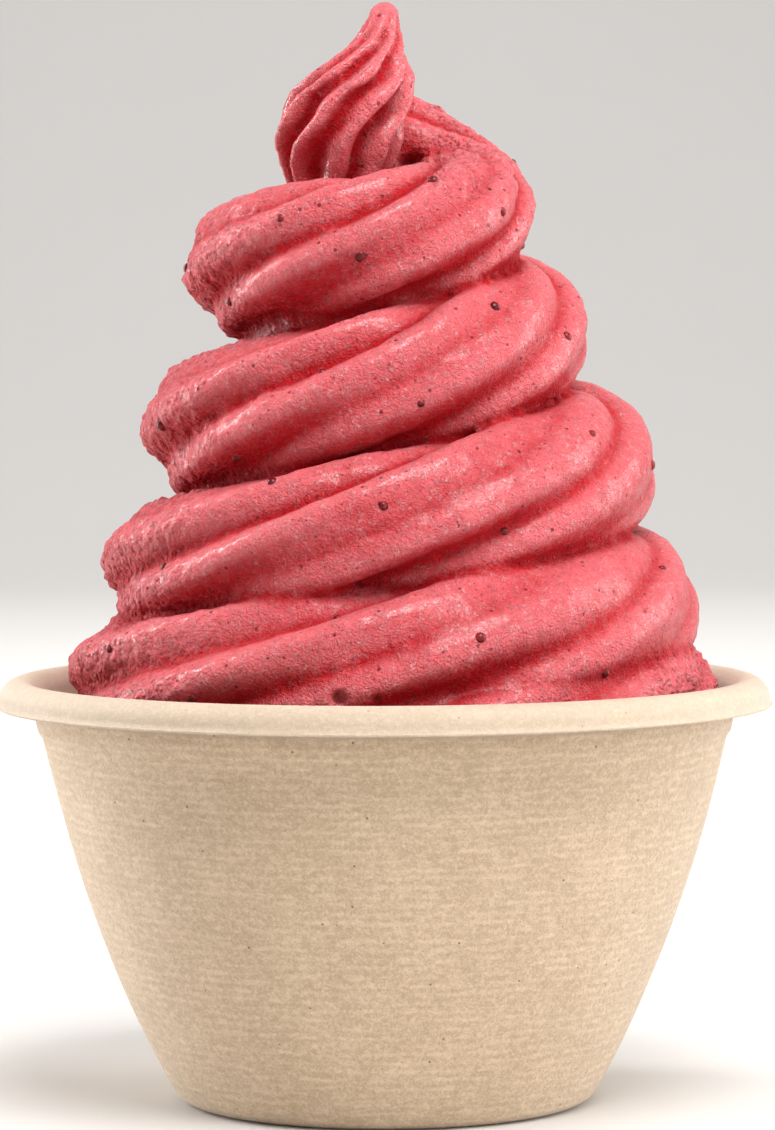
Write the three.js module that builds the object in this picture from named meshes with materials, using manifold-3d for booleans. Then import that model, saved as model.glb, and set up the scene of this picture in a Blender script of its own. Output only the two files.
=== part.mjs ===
// A tall swirl of berry soft serve standing in a moulded pulp cup.
// Millimetres, +Z up. The origin is the centre of the cup's flat base.
import * as THREE from "three";
import { LoftGeometry } from "three/addons/geometries/LoftGeometry.js";
import { mergeVertices } from "three/addons/utils/BufferGeometryUtils.js";
import Module from "manifold-3d";

// Cup: one sheet of pressed pulp, its rim rolled outwards and down.
const RIM_RADIUS = 57;
const CUP_HEIGHT = 62.5;
const WALL = 1.3;
const BASE_RADIUS = 28;
const HEEL_ROUND = 3.8;
const HEEL_LEAN = 29.5; // degrees from upright where the wall leaves the heel
const WALL_TOP = new THREE.Vector2(50.3, 54);
const WALL_TOP_LEAN = 12.7; // degrees from upright just under the stacking step
const STACK_STEP = new THREE.Vector2(0.6, 0.8);
const RIM_INNER_ROUND = 1.7;
const RIM_OUTER_ROUND = 1.7;
const RIM_SKIRT = 4; // drop from the crest of the rim to its lower edge
const RIM_BEAD = new THREE.Vector2(0.4, 0.7); // trimmed edge round the foot of the skirt
const CUP_SIDES = 48;
const WALL_STEPS = 5;
const ROUND_STEPS = 3;

// Soft serve: a fluted rope wound upwards in a shrinking spiral.
// Each station is a half turn: the rope's outermost reach from the axis, the height of its
// middle, and half its thickness with the ridges.
const FIRST_TURN = -1;
const STATION_TURN = 0.5;
const ROPE_REACH = [43, 45.4, 49, 47, 46.4, 41.6, 40.4, 35.6, 30.3, 29.4, 22, 6.6];
const ROPE_HEIGHT = [42, 49.5, 60, 60.8, 73, 78.2, 93.4, 98.8, 113.2, 122.4, 131, 147];
const ROPE_HALF = [11.6, 11.6, 11.6, 12, 11.6, 10.2, 11.6, 11, 10.8, 10.3, 9.6, 3.6];
const LAST_TURN = FIRST_TURN + STATION_TURN * (ROPE_REACH.length - 1);
const TAIL_LIFT = 5; // extra rise of the tail where it goes up behind the peak
const TAIL_TURNS = [3.95, 4.25];
const RIDGES = 6;
const RIDGE_DEPTH = 0.28; // groove depth as a share of the half thickness
const RIDGE_UNEVEN = 0.3; // every other groove is deeper by this share, the rest shallower
const LEFT_FLAT = 0.45; // the grooves lose this share where the rope turns at the left
const RIGHT_FLAT = 0.65; // and this share in the broad lobes at the right
const RIGHT_TURN = 0.9;
const SQUASH = 0.5; // and this share where one turn rests on another at the right
const TWIST_PER_TURN = 0.97; // the ridges climb across the rope as it winds
const TWIST_START = 3.34; // radians
const TWIST_SWING = 0.5; // radians by which they climb faster and slower in each turn
const TWIST_SWING_TURN = 0.87; // they climb fastest here, at the right
const AXIS_CLEAR = 0.5;
const ROPE_LENGTHS = 16; // short enough that none crosses itself, their ends in no common plane
const ROPE_STEP = 11; // from section to section along the outside
const FEWEST_STEPS = 6;
const SIDES_PER_RIDGE = 4;

// Peak: the rope's tail pulled up to a leaning point.
const PEAK_HEIGHT = [132, 137, 141, 144.5, 147.5, 150.5, 153.2, 156, 158.8, 160.6, 161.5];
const PEAK_RADIUS = [6.4, 8.4, 9.7, 9.8, 9.3, 8, 5.9, 3.7, 2.6, 2, 0.6];
const PEAK_LEAN = new THREE.Vector2(-6.6, 0.4); // across, from the foot of the peak to its tip
const PEAK_BEND = [140, 161]; // the heights between which it leans over
const PEAK_BOW = -3.5; // the peak's middle stands forward of the axis
const PEAK_RIDGES = 8;
const PEAK_TWIST = 2.4; // radians from foot to tip

// Filling and the hidden middle of the swirl.
const FIT_GAP = 0.3;
const FILL_LEVEL = 54;
const FILL_CROWN = 1;
const CORE_SHARE = 1.06; // the core reaches a little past the middle of the rope
const CORE_SINK = 4; // how far the core stands in the filling
const HIDDEN_SIDES = 36;

// Berry seeds caught in the surface.
const SEEDS = 60;
const SEED_RADIUS = [0.6, 0.95];
const SEED_FIRST_TURN = 0.1;
const SEED_FACE = [-0.75, 1.15]; // radians from straight out, downwards and upwards
const GOLDEN = 0.61803398875;
const PLASTIC = 0.7548776662;

const UP = new THREE.Vector3(0, 0, 1);
const TAU = 2 * Math.PI;
const rad = THREE.MathUtils.degToRad;
const { lerp, clamp, smoothstep } = THREE.MathUtils;

const wasm = await Module();
wasm.setup();

// A closed geometry as a solid for joining and cutting.
function solid(geometry) {
  const bare = new THREE.BufferGeometry();
  bare.setAttribute("position", geometry.getAttribute("position"));
  bare.setIndex(geometry.index);
  const merged = mergeVertices(bare, 1e-4);
  const corners = [];
  for (let i = 0; i < merged.index.count; i += 3) {
    const [a, b, c] = merged.index.array.slice(i, i + 3);
    if (a !== b && b !== c && c !== a) corners.push(a, b, c);
  }
  const vertProperties = merged.attributes.position.array;
  const triVerts = new Uint32Array(corners);
  return new wasm.Manifold(new wasm.Mesh({ numProp: 3, vertProperties, triVerts }));
}

// A solid back as a geometry with flat shading.
function geometryOf(made) {
  const mesh = made.getMesh();
  const geometry = new THREE.BufferGeometry();
  geometry.setAttribute("position", new THREE.BufferAttribute(mesh.vertProperties, 3));
  geometry.setIndex(new THREE.BufferAttribute(mesh.triVerts, 1));
  geometry.computeVertexNormals();
  return geometry;
}

// A profile of (radius, height) points turned about the upright axis.
function turned(profile, sides) {
  return new THREE.LatheGeometry(profile, sides).rotateX(Math.PI / 2);
}

// A smooth curve through evenly spaced values, read at a fractional place.
function through(values, place) {
  const last = values.length - 1;
  const i = clamp(Math.floor(place), 0, last - 1);
  const [a, b, c, d] = [i - 1, i, i + 1, i + 2].map((k) => values[clamp(k, 0, last)]);
  const f = place - i;
  const curve = (3 * (b - c) + d - a) * f + 2 * a - 5 * b + 4 * c - d;
  return b + 0.5 * f * (c - a + f * curve);
}

// The pulp sheet's outer face, from the middle of the base to the lower edge of the rim's skirt.
function sheetFace() {
  const face = new THREE.Path();
  face.moveTo(0, 0);
  face.lineTo(BASE_RADIUS, 0);
  face.absarc(BASE_RADIUS, HEEL_ROUND, HEEL_ROUND, -Math.PI / 2, -rad(HEEL_LEAN), false);
  const foot = face.currentPoint.clone();
  const footWay = new THREE.Vector2(Math.sin(rad(HEEL_LEAN)), Math.cos(rad(HEEL_LEAN)));
  const topWay = new THREE.Vector2(Math.sin(rad(WALL_TOP_LEAN)), Math.cos(rad(WALL_TOP_LEAN)));
  const chord = WALL_TOP.clone().sub(foot);
  const bend = foot.clone().addScaledVector(footWay, chord.cross(topWay) / footWay.cross(topWay));
  face.quadraticCurveTo(bend.x, bend.y, WALL_TOP.x, WALL_TOP.y);
  const step = WALL_TOP.clone().add(STACK_STEP);
  face.lineTo(step.x, step.y);
  const roof = CUP_HEIGHT - WALL;
  const neckHeight = roof - RIM_INNER_ROUND;
  const neck = step.x + (neckHeight - step.y) * Math.tan(rad(WALL_TOP_LEAN));
  face.lineTo(neck, neckHeight);
  face.absarc(neck + RIM_INNER_ROUND, neckHeight, RIM_INNER_ROUND, Math.PI, Math.PI / 2, true);
  const skirt = RIM_RADIUS - RIM_BEAD.x - WALL;
  face.absarc(skirt - RIM_OUTER_ROUND, roof - RIM_OUTER_ROUND, RIM_OUTER_ROUND, Math.PI / 2, 0, true);
  face.lineTo(skirt, CUP_HEIGHT - RIM_SKIRT);
  return face.curves.flatMap((curve, i) => {
    const steps = { LineCurve: 1, QuadraticBezierCurve: WALL_STEPS }[curve.type] ?? ROUND_STEPS;
    return curve.getPoints(steps).slice(i === 0 ? 0 : 1);
  });
}

// The same outline moved sideways towards the inside of the cup.
function inset(points, distance) {
  return points.map((point, i) => {
    const before = points[Math.max(i - 1, 0)];
    const after = points[Math.min(i + 1, points.length - 1)];
    const way = i === 0 ? new THREE.Vector2(1, 0) : after.clone().sub(before).normalize();
    return new THREE.Vector2(point.x - way.y * distance, point.y + way.x * distance);
  });
}

// The whole cup: the sheet's two faces, closed at the lower edge of the skirt by a small bead.
function cupGeometry() {
  const outer = sheetFace();
  const inner = inset(outer, WALL);
  const edge = inner.at(-1);
  const bead = [
    new THREE.Vector2(edge.x + RIM_BEAD.x, edge.y),
    new THREE.Vector2(edge.x + RIM_BEAD.x, edge.y + RIM_BEAD.y / 2),
    new THREE.Vector2(edge.x, edge.y + RIM_BEAD.y),
  ];
  return turned([...outer, ...bead, ...inner.slice(0, -1).reverse()], CUP_SIDES);
}

// One of the rope's station lists, read at a turn.
function ropeAt(stations, turn) {
  return through(stations, (turn - FIRST_TURN) / STATION_TURN);
}

// The height of the rope's middle at a turn.
function ropeMiddle(turn) {
  return ropeAt(ROPE_HEIGHT, turn) + TAIL_LIFT * smoothstep(turn, ...TAIL_TURNS);
}

// How far the fluted section reaches in a direction, as a share of its half thickness.
// Rounded ridges meet in sharp grooves, and every other groove is deeper.
function flute(angle, ridges, strength) {
  const ridge = Math.abs(Math.sin((ridges / 2) * angle));
  const proud = 1 + RIDGE_UNEVEN * Math.cos((ridges / 2) * angle);
  return 1 - RIDGE_DEPTH * strength * proud * (1 - ridge);
}

// How strong the grooves are: weaker at the sides and where one turn rests on another.
function strength(turn, angle) {
  const rightward = 0.5 + 0.5 * Math.cos(TAU * turn);
  const left = LEFT_FLAT * (1 - rightward) ** 3;
  const right = RIGHT_FLAT * (0.5 + 0.5 * Math.cos(TAU * (turn - RIGHT_TURN))) ** 4;
  return (1 - left - right) * (1 - SQUASH * rightward * Math.sin(angle) ** 6);
}

// How far the ridges have climbed round the rope at a turn.
function twist(turn) {
  const swing = TWIST_SWING * Math.sin(TAU * (turn - TWIST_SWING_TURN));
  return TWIST_START + TWIST_PER_TURN * TAU * turn + swing;
}

// A point on the rope: turn along it, angle round its section from straight out, upwards.
function ropePoint(turn, angle) {
  const half = ropeAt(ROPE_HALF, turn);
  const reach = half * flute(angle - twist(turn), RIDGES, strength(turn, angle));
  const across = ropeAt(ROPE_REACH, turn) - half + reach * Math.cos(angle);
  const radius = Math.max(across, AXIS_CLEAR);
  const height = ropeMiddle(turn) + reach * Math.sin(angle);
  return new THREE.Vector3(radius, 0, height).applyAxisAngle(UP, TAU * turn);
}

// The wound rope, as lengths that overlap nothing of themselves.
function ropeLengths() {
  const columns = RIDGES * SIDES_PER_RIDGE;
  const span = (LAST_TURN - FIRST_TURN) / ROPE_LENGTHS;
  const section = (turn) =>
    Array.from({ length: columns }, (_, j) => ropePoint(turn, twist(turn) - (TAU * j) / columns));
  return Array.from({ length: ROPE_LENGTHS }, (_, n) => {
    const outside = TAU * span * ropeAt(ROPE_REACH, FIRST_TURN + n * span);
    const steps = Math.max(Math.round(outside / ROPE_STEP), FEWEST_STEPS);
    const turns = Array.from({ length: steps + 1 }, (_, i) => FIRST_TURN + (n + i / steps) * span);
    return solid(new LoftGeometry(turns.map(section), { capStart: true, capEnd: true }));
  });
}

// The pulled-up tail: level fluted sections that lean and twist to a blunt point.
function peak() {
  const columns = PEAK_RIDGES * SIDES_PER_RIDGE;
  const last = PEAK_HEIGHT.length - 1;
  const sections = PEAK_HEIGHT.map((height, i) => {
    const share = i / last;
    const middle = lerp(PEAK_LEAN.x, PEAK_LEAN.y, smoothstep(height, ...PEAK_BEND));
    return Array.from({ length: columns }, (_, j) => {
      const angle = PEAK_TWIST * share + (TAU * j) / columns;
      const reach = PEAK_RADIUS[i] * flute(angle - PEAK_TWIST * share, PEAK_RIDGES, 1);
      const x = middle + reach * Math.cos(angle);
      const y = PEAK_BOW * Math.sin(Math.PI * share) + reach * Math.sin(angle);
      return new THREE.Vector3(x, y, height);
    });
  });
  return solid(new LoftGeometry(sections, { capStart: true, capEnd: true }));
}

// What fills the cup: the inside of its wall, a fitting gap clear, up to a slightly crowned top.
function filling() {
  const wall = inset(sheetFace(), WALL + FIT_GAP);
  const below = wall.slice(0, wall.findIndex((point) => point.y > FILL_LEVEL));
  return solid(turned([...below, new THREE.Vector2(0, FILL_LEVEL + FILL_CROWN)], HIDDEN_SIDES));
}

// The hidden middle that the rope is wound round.
function core() {
  const profile = [new THREE.Vector2(0, FILL_LEVEL - CORE_SINK)];
  for (let turn = 0; turn < LAST_TURN; turn += STATION_TURN) {
    const radius = (ropeAt(ROPE_REACH, turn) - ropeAt(ROPE_HALF, turn)) * CORE_SHARE;
    const height = ropeMiddle(turn - STATION_TURN / 2);
    profile.push(new THREE.Vector2(radius, height));
  }
  profile.push(new THREE.Vector2(0, profile.at(-1).y));
  return solid(turned(profile, HIDDEN_SIDES));
}

// Berry seeds spread along the outer face of the rope, half sunk in it.
function seeds() {
  return Array.from({ length: SEEDS }, (_, k) => {
    const turn = lerp(SEED_FIRST_TURN, LAST_TURN, (k + 0.5) / SEEDS);
    const angle = lerp(SEED_FACE[0], SEED_FACE[1], (k * GOLDEN) % 1);
    const radius = lerp(SEED_RADIUS[0], SEED_RADIUS[1], (k * PLASTIC) % 1);
    const place = ropePoint(turn, angle);
    return solid(new THREE.IcosahedronGeometry(radius, 0).translate(place.x, place.y, place.z));
  });
}

// All of the soft serve as one body. Hollows shut in between the turns are filled.
function softServeGeometry() {
  const joined = [...ropeLengths(), peak(), core(), filling(), ...seeds()];
  const whole = joined.reduce((sum, next) => sum.add(next));
  const shells = whole.decompose().sort((a, b) => b.volume() - a.volume());
  return geometryOf(shells[0]);
}

function part(name, geometry, color, roughness) {
  const material = new THREE.MeshStandardMaterial({ color, roughness, metalness: 0 });
  const mesh = new THREE.Mesh(geometry, material);
  mesh.name = name;
  return mesh;
}

const dessert = new THREE.Group();
dessert.add(part("cup", cupGeometry(), 0xd9c3a2, 0.9));
dessert.add(part("soft_serve", softServeGeometry(), 0xd85a66, 0.5));

export default dessert;
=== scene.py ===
"""Dresses the packed ice cream cup: its pulp cup, the swirl of berry soft serve and the seeds in it.

The dessert's sizes are in millimetres and become metres where a mesh is placed; the studio's are in
metres. +Z is up, the viewer stands at -Y, and the origin is the middle of the cup's base, as in the
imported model.
"""

import logging
import math
from collections.abc import Callable, Sequence
from dataclasses import dataclass, field
from enum import Enum
from typing import Any

import bmesh
import bpy
from mathutils import Euler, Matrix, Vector, noise
from mathutils.bvhtree import BVHTree

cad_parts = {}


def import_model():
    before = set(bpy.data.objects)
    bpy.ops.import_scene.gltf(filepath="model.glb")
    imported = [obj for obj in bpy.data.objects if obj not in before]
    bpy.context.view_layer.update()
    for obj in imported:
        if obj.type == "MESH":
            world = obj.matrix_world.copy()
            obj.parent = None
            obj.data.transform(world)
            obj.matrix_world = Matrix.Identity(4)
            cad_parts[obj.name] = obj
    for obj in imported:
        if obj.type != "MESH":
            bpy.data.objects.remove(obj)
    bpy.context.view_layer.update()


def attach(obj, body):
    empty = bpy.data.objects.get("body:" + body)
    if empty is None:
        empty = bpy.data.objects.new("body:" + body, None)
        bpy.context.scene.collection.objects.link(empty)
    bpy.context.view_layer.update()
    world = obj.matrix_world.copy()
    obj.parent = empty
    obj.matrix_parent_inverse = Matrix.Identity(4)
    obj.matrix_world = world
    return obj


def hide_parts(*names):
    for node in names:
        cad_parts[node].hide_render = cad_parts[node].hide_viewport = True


MM = 0.001
TAU = 2.0 * math.pi
WELD = 0.001 * MM
UP = (0.0, 0.0, 1.0)
ORIGIN = (0.0, 0.0, 0.0)
BODY = "root"
LOG = logging.getLogger("ice_cream_cup")

Point2 = tuple[float, float]
Point3 = tuple[float, float, float]
Span = tuple[float, float]
Colour = tuple[float, float, float, float]


class Slot(Enum):
    """The record's material slots."""

    PULP = "pulp"
    SOFT_SERVE = "berry_soft_serve"
    SEED = "berry_seed"


class CadNode(Enum):
    """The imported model's nodes that a dressed piece stands for."""

    CUP = "cup"
    SOFT_SERVE = "soft_serve"


def lerp(low: float, high: float, share: float) -> float:
    """Go from low to high by a share."""
    return low + (high - low) * share


def smoothstep(value: float, low: float, high: float) -> float:
    """Rise smoothly from 0 at low to 1 at high; low may be the larger one."""
    share = min(max((value - low) / (high - low), 0.0), 1.0)
    return share * share * (3.0 - 2.0 * share)


def through(values: Sequence[float], place: float) -> float:
    """Read a smooth curve through evenly spaced values.

    Args:
        values: The values that the curve passes through.
        place: A fractional index into them.

    Returns:
        The curve's value there.
    """
    last = len(values) - 1
    first = min(max(math.floor(place), 0), last - 1)
    a, b, c, d = (values[min(max(first + k, 0), last)] for k in (-1, 0, 1, 2))
    part = place - first
    curve = (3.0 * (b - c) + d - a) * part + 2.0 * a - 5.0 * b + 4.0 * c - d
    return b + 0.5 * part * (c - a + part * curve)


def rgb(red: float, green: float, blue: float) -> Colour:
    """Make an opaque linear colour."""
    return (red, green, blue, 1.0)


@dataclass(frozen=True)
class Pattern:
    """A noise of a finish: its blotches' size in millimetres, its finer layers and its distortion."""

    size: float
    detail: float = 2.0
    rough: float = 0.5
    swirl: float = 0.0


@dataclass(frozen=True)
class Specks:
    """One kind of speck: its cells' size in millimetres, its edge, which cells draw one, how dark it is."""

    cell: float
    edge: Span
    draws_above: float
    strength: float


class Wire:
    """A shader socket that can be used in sums: every operator adds a Math node."""

    def __init__(self, shader: "Shader", socket: bpy.types.NodeSocket) -> None:
        """Wrap one output socket of a shader's tree."""
        self.shader = shader
        self.socket = socket

    def other(self, output: str) -> "Wire":
        """Take another output of the same node."""
        return Wire(self.shader, self.socket.node.outputs[output])

    def maths(self, operation: str, first: "Wire | float", second: "Wire | float" = 0.0) -> "Wire":
        """Add a Math node on two values."""
        return self.shader.node("ShaderNodeMath", {"operation": operation}, {0: first, 1: second})

    def __add__(self, other: "Wire | float") -> "Wire":
        """Add."""
        return self.maths("ADD", self, other)

    def __radd__(self, other: float) -> "Wire":
        """Add to a number."""
        return self.maths("ADD", other, self)

    def __sub__(self, other: "Wire | float") -> "Wire":
        """Subtract."""
        return self.maths("SUBTRACT", self, other)

    def __rsub__(self, other: float) -> "Wire":
        """Subtract from a number."""
        return self.maths("SUBTRACT", other, self)

    def __mul__(self, other: "Wire | float") -> "Wire":
        """Multiply."""
        return self.maths("MULTIPLY", self, other)

    def __rmul__(self, other: float) -> "Wire":
        """Multiply a number."""
        return self.maths("MULTIPLY", other, self)

    def __gt__(self, other: "Wire | float") -> "Wire":
        """Give 1 where this is greater, else 0."""
        return self.maths("GREATER_THAN", self, other)

    def sine(self) -> "Wire":
        """Take the sine."""
        return self.maths("SINE", self)

    def from_middle(self) -> "Wire":
        """Give how far a value from 0 to 1 lies from 0.5."""
        return self.maths("ABSOLUTE", self - 0.5)

    def rise(self, low: float, high: float) -> "Wire":
        """Rise smoothly from one value to another.

        Args:
            low: Where the result is 0.
            high: Where the result is 1; it may be less than low.

        Returns:
            Values from 0 to 1.
        """
        settings = {"interpolation_type": "SMOOTHSTEP"}
        if low < high:
            return self.shader.node("ShaderNodeMapRange", settings, {0: self, 1: low, 2: high})
        return self.shader.node("ShaderNodeMapRange", settings, {0: self, 1: high, 2: low, 3: 1.0, 4: 0.0})


class Shader:
    """One material's node tree."""

    def __init__(self, name: str) -> None:
        """Start an empty material.

        Args:
            name: The material's name.
        """
        self.material = bpy.data.materials.new(name)
        self.material.use_nodes = True
        self.tree = self.material.node_tree
        self.tree.nodes.clear()

    def added(
        self, kind: str, settings: dict[str, Any], sockets: dict[int | str, Any]
    ) -> bpy.types.Node:
        """Add a node.

        Args:
            kind: The node's type.
            settings: Its properties, set first.
            sockets: Values or wires for its inputs, by name or place.

        Returns:
            The node.
        """
        made = self.tree.nodes.new(kind)
        for name, value in settings.items():
            setattr(made, name, value)
        for key, value in sockets.items():
            if isinstance(value, Wire):
                self.tree.links.new(value.socket, made.inputs[key])
            else:
                made.inputs[key].default_value = value
        return made

    def node(
        self,
        kind: str,
        settings: dict[str, Any] | None = None,
        sockets: dict[int | str, Any] | None = None,
        output: int | str = 0,
    ) -> Wire:
        """Add a node and take one of its outputs."""
        return Wire(self, self.added(kind, settings or {}, sockets or {}).outputs[output])

    def place(self) -> Wire:
        """Read the object's own coordinates, in metres."""
        return self.node("ShaderNodeTexCoord", output="Object")

    def attribute(self, name: str) -> Wire:
        """Read a number stored on the mesh."""
        return self.node("ShaderNodeAttribute", {"attribute_name": name}, {}, "Fac")

    def stretched(self, place: Wire, factors: Point3) -> Wire:
        """Scale coordinates along each axis."""
        return self.node("ShaderNodeMapping", {}, {"Vector": place, "Scale": factors})

    def noise(self, place: Wire, pattern: Pattern) -> Wire:
        """Add a noise.

        Args:
            place: The coordinates to read.
            pattern: The noise's size and layers.

        Returns:
            Values from 0 to 1, mostly near 0.5.
        """
        sockets = {
            "Vector": place,
            "Scale": 1.0 / (pattern.size * MM),
            "Detail": pattern.detail,
            "Roughness": pattern.rough,
            "Distortion": pattern.swirl,
        }
        return self.node("ShaderNodeTexNoise", {}, sockets)

    def cells(self, place: Wire, size: float) -> Wire:
        """Give the distance to the middle of each cell of about size millimetres, in cells."""
        sockets = {"Vector": place, "Scale": 1.0 / (size * MM)}
        return self.node("ShaderNodeTexVoronoi", {}, sockets, "Distance")

    def lottery(self, cells: Wire) -> Wire:
        """Draw one number from 0 to 1 for each cell of a cell pattern."""
        return self.node("ShaderNodeSeparateColor", {}, {0: cells.other("Color")})

    def specks(self, place: Wire, kinds: Sequence[Specks]) -> Wire:
        """Scatter specks.

        Args:
            place: The coordinates to read.
            kinds: The kinds of speck.

        Returns:
            How dark the specks are, 0 between them.
        """
        marks = []
        for kind in kinds:
            cells = self.cells(place, kind.cell)
            drawn = self.lottery(cells) > kind.draws_above
            marks.append(cells.rise(*kind.edge) * drawn * kind.strength)
        return sum(marks[1:], marks[0])

    def mix(self, share: Wire | float, first: Wire | Colour, second: Wire | Colour) -> Wire:
        """Mix two colours."""
        return self.node("ShaderNodeMix", {"data_type": "RGBA"}, {0: share, 6: first, 7: second}, 2)

    def bump(self, height: Wire, depth: float) -> Wire:
        """Turn a height from 0 to 1 into a normal; depth is its relief in millimetres."""
        return self.node("ShaderNodeBump", {}, {"Height": height, "Distance": depth * MM})

    def surface(self, sockets: dict[str, Any]) -> bpy.types.Material:
        """End the tree in a Principled surface.

        Args:
            sockets: Values or wires for the surface's inputs.

        Returns:
            The finished material.
        """
        surface = self.node("ShaderNodeBsdfPrincipled", {}, sockets)
        self.added("ShaderNodeOutputMaterial", {}, {"Surface": surface})
        return self.material


@dataclass(frozen=True)
class PulpFinish:
    """Pressed plant pulp: matte, mottled, with faint wire marks, specks and short fibres."""

    pale: Colour = rgb(0.690, 0.533, 0.372)
    deep: Colour = rgb(0.475, 0.345, 0.222)
    rim: Colour = rgb(0.50, 0.41, 0.33)
    speck: Colour = rgb(0.14, 0.08, 0.04)
    rim_band: Span = (57.2, 58.2)
    clouds: Pattern = Pattern(9.0)
    mottle: Pattern = Pattern(1.5, 3.0, 0.65)
    mottle_stretch: Point3 = (1.0, 1.0, 1.6)
    fibres: Pattern = Pattern(0.50, 2.0, 0.6, 0.9)
    tone_edge: Span = (0.05, 0.95)
    wire_pitch: float = 1.3
    wire_drift: Pattern = Pattern(16.0, 1.0)
    wire_drift_reach: float = 0.5
    wire_breaks: Pattern = Pattern(4.5, 3.0, 0.6)
    wire_breaks_stretch: Point3 = (1.0, 1.0, 5.0)
    wire_breaks_edge: Span = (0.36, 0.64)
    specks: tuple[Specks, ...] = (
        Specks(2.1, (0.12, 0.06), 0.80, 0.8),
        Specks(1.5, (0.20, 0.06), 0.70, 0.16),
    )
    relief: float = 0.14

    def material(self) -> bpy.types.Material:
        """Build the pulp's material.

        Returns:
            The material.
        """
        shader = Shader("pressed_pulp")
        place = shader.place()
        height = shader.node("ShaderNodeSeparateXYZ", {}, {0: place}, "Z")
        rim = height.rise(self.rim_band[0] * MM, self.rim_band[1] * MM)
        half_rim = rim * 0.5
        clouds = shader.noise(place, self.clouds)
        mottle = shader.noise(shader.stretched(place, self.mottle_stretch), self.mottle)
        fibres = shader.noise(place, self.fibres)
        wire_marks = self.wire_marks(shader, place, height) * (1.0 - rim)
        tone = fibres * 1.3 + mottle + clouds * 0.35 + wire_marks * 0.24 - 0.94
        colour = shader.mix(tone.rise(*self.tone_edge), self.deep, self.pale)
        colour = shader.mix(half_rim, colour, self.rim)
        specks = shader.specks(place, self.specks) * (1.0 - half_rim)
        relief = fibres * 0.6 + mottle * 0.4 + wire_marks * 0.22
        return shader.surface({
            "Base Color": shader.mix(specks, colour, self.speck),
            "Roughness": 0.80 - fibres * 0.15,
            "Specular IOR Level": 0.4,
            "Sheen Weight": 0.22,
            "Sheen Roughness": 0.5,
            "Normal": shader.bump(relief, self.relief),
        })

    def wire_marks(self, shader: Shader, place: Wire, height: Wire) -> Wire:
        """Draw the broken level lines that the mould's wires leave.

        Args:
            shader: The material's tree.
            place: The coordinates to read.
            height: Their upright part.

        Returns:
            Values from 0 to 1.
        """
        drift = shader.noise(place, self.wire_drift) * (self.wire_drift_reach * MM)
        wires = ((height + drift) * (TAU / (self.wire_pitch * MM))).sine() * 0.5 + 0.5
        breaks = shader.noise(shader.stretched(place, self.wire_breaks_stretch), self.wire_breaks)
        return wires * breaks.rise(*self.wire_breaks_edge)


@dataclass(frozen=True)
class SoftServeFinish:
    """Berry soft serve, crumbly where torn, with painted shade and light: deep red in its grooves and
    undersides, pink on its ridges, with painted glint strokes.
    """

    # Painted light and shade: pale is the pink of the lit ridges, deep the painted shade of grooves and
    # undersides
    pale: Colour = rgb(0.69, 0.136, 0.152)
    deep: Colour = rgb(0.43, 0.007, 0.012)
    # Painted glint: the pale colour of the highlight strokes
    painted_glint: Colour = rgb(0.98, 0.52, 0.54)
    speck: Colour = rgb(0.20, 0.008, 0.013)
    torn: str = "torn"
    # The crest attribute: how proud the skin stands, lower on undersides; it paints shade into grooves and
    # undersides
    crest: str = "crest"
    crest_shade_edge: Span = (-0.35, 0.30)
    clouds: Pattern = Pattern(9.0, 3.0)
    mottle: Pattern = Pattern(1.9, 3.0, 0.6)
    grain: Pattern = Pattern(0.40, 2.0, 0.6)
    crystals: Pattern = Pattern(0.70, 1.0, 0.5, 1.6)
    stroke_edge: Span = (0.10, 0.02)
    patches: Pattern = Pattern(0.9, 1.0)
    patch_edge: Span = (0.50, 0.62)
    crumb_size: float = 0.95
    crumb_edge: Span = (0.75, 0.0)
    specks: tuple[Specks, ...] = (
        Specks(2.2, (0.17, 0.09), 0.62, 0.9),
        Specks(1.15, (0.22, 0.10), 0.62, 0.7),
    )
    bleed: Point3 = (1.0, 0.30, 0.26)
    bleed_reach: float = 0.7
    relief: float = 0.95

    def material(self) -> bpy.types.Material:
        """Build the soft serve's material.

        Returns:
            The material.
        """
        shader = Shader("berry_soft_serve")
        place = shader.place()
        torn = shader.attribute(self.torn)
        crest = shader.attribute(self.crest).rise(*self.crest_shade_edge)
        clouds = shader.noise(place, self.clouds)
        mottle = shader.noise(place, self.mottle)
        grain = shader.noise(place, self.grain)
        crystals = shader.noise(place, self.crystals)
        strokes = crystals.from_middle().rise(*self.stroke_edge)
        frost_and_glint_strokes = strokes * shader.noise(place, self.patches).rise(*self.patch_edge)
        crumbs = shader.cells(place, self.crumb_size).rise(*self.crumb_edge)
        # Painted shade and light: the crest share darkens grooves and undersides and lightens ridges; the
        # noises are the sorbet's own tone
        tone = crest * 0.9 + clouds * 0.25 + mottle * 0.5 + grain * 0.15 + torn * 0.1 - 0.42
        colour = shader.mix(tone.rise(0.0, 1.0), self.deep, self.pale)
        # Painted highlight: glint strokes mixed into the base colour, strongest on the ridges
        colour = shader.mix(frost_and_glint_strokes * (0.06 + crest * 0.30), colour, self.painted_glint)
        relief = crystals * 0.55 + frost_and_glint_strokes * 0.20 + grain * 0.45 + mottle * 0.4 + crumbs * torn * 0.9
        return shader.surface({
            "Base Color": shader.mix(shader.specks(place, self.specks), colour, self.speck),
            "Roughness": 0.5,
            "Specular IOR Level": 0.10,
            "Subsurface Weight": 0.25,
            "Subsurface Radius": self.bleed,
            "Subsurface Scale": self.bleed_reach * MM,
            "Coat Weight": crest * (0.14 + strokes * 0.60) * (1.0 - torn * 0.6),
            "Coat Roughness": 0.22,
            "Normal": shader.bump(relief, self.relief),
        })


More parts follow.
